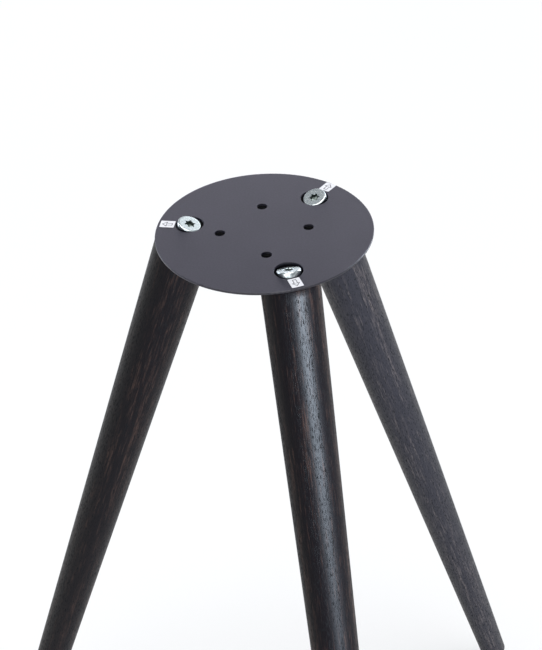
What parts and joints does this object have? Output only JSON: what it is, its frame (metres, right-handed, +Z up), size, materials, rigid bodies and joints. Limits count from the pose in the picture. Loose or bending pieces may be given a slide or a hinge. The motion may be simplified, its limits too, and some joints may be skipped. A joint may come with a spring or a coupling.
{
  "type": "telescope mount stand",
  "caption": "Three-legged stand for an alt-azimuth mount: thin round steel top plate with screw holes, splayed tapered wooden legs and levelling feet.",
  "frame": {"origin": "centre of the plate's top face, on the circle of head holes", "axes": "+Z up along the stand's axis, +X towards head hole 1; the legs are at 45, 165 and 285 degrees from +X"},
  "size_m": [0.6075, 0.587, 0.8039],
  "materials": {
    "plate_coat": "fine matte powder coat, dark grey with a slight violet tint",
    "zinc_steel": "bright zinc plate",
    "leg_wood": "open-grain hardwood, near-black stain under satin lacquer",
    "label_white": "white vinyl sticker with a printed outline arrow",
    "moulded_black": "black moulded nylon",
    "pad_rubber": "black rubber"
  },
  "bodies": {
    "stand": {"top_plate": "plate_coat", "mount_nut_1": "plate_coat", "mount_nut_2": "plate_coat", "mount_nut_3": "plate_coat", "mount_nut_4": "plate_coat", "leg_seat_1": "plate_coat", "leg_screw_1": "zinc_steel", "lock_washer_1": "zinc_steel", "leg_insert_1": "zinc_steel", "leg_1": "leg_wood", "direction_label_1": "label_white", "foot_insert_1": "zinc_steel", "foot_locknut_1": "zinc_steel", "leg_seat_2": "plate_coat", "leg_screw_2": "zinc_steel", "lock_washer_2": "zinc_steel", "leg_insert_2": "zinc_steel", "leg_2": "leg_wood", "direction_label_2": "label_white", "foot_insert_2": "zinc_steel", "foot_locknut_2": "zinc_steel", "leg_seat_3": "plate_coat", "leg_screw_3": "zinc_steel", "lock_washer_3": "zinc_steel", "leg_insert_3": "zinc_steel", "leg_3": "leg_wood", "direction_label_3": "label_white", "foot_insert_3": "zinc_steel", "foot_locknut_3": "zinc_steel"},
    "foot_1_stud": {"foot_stud_1": "zinc_steel"},
    "foot_1_base": {"foot_base_1": "moulded_black", "foot_pad_1": "pad_rubber"},
    "foot_2_stud": {"foot_stud_2": "zinc_steel"},
    "foot_2_base": {"foot_base_2": "moulded_black", "foot_pad_2": "pad_rubber"},
    "foot_3_stud": {"foot_stud_3": "zinc_steel"},
    "foot_3_base": {"foot_base_3": "moulded_black", "foot_pad_3": "pad_rubber"}
  },
  "joints": [
    {"name": "foot_1_height", "type": "slide", "parent": "stand", "child": "foot_1_stud", "axis": [0, 0, -1], "range_m": [0, 0.01]},
    {"name": "foot_1_tilt", "type": "hinge", "parent": "foot_1_stud", "child": "foot_1_base", "pos_m": [0.25174, 0.21935, -0.789], "axis": [-0.6569, 0.7539, 0], "range_deg": [-10, 10]},
    {"name": "foot_2_height", "type": "slide", "parent": "stand", "child": "foot_2_stud", "axis": [0, 0, -1], "range_m": [0, 0.01]},
    {"name": "foot_2_tilt", "type": "hinge", "parent": "foot_2_stud", "child": "foot_2_base", "pos_m": [-0.31583, 0.10834, -0.789], "axis": [-0.3245, -0.9459, 0], "range_deg": [-10, 10]},
    {"name": "foot_3_height", "type": "slide", "parent": "stand", "child": "foot_3_stud", "axis": [0, 0, -1], "range_m": [0, 0.01]},
    {"name": "foot_3_tilt", "type": "hinge", "parent": "foot_3_stud", "child": "foot_3_base", "pos_m": [0.06409, -0.32769, -0.789], "axis": [0.9814, 0.192, 0], "range_deg": [-10, 10]}
  ]
}
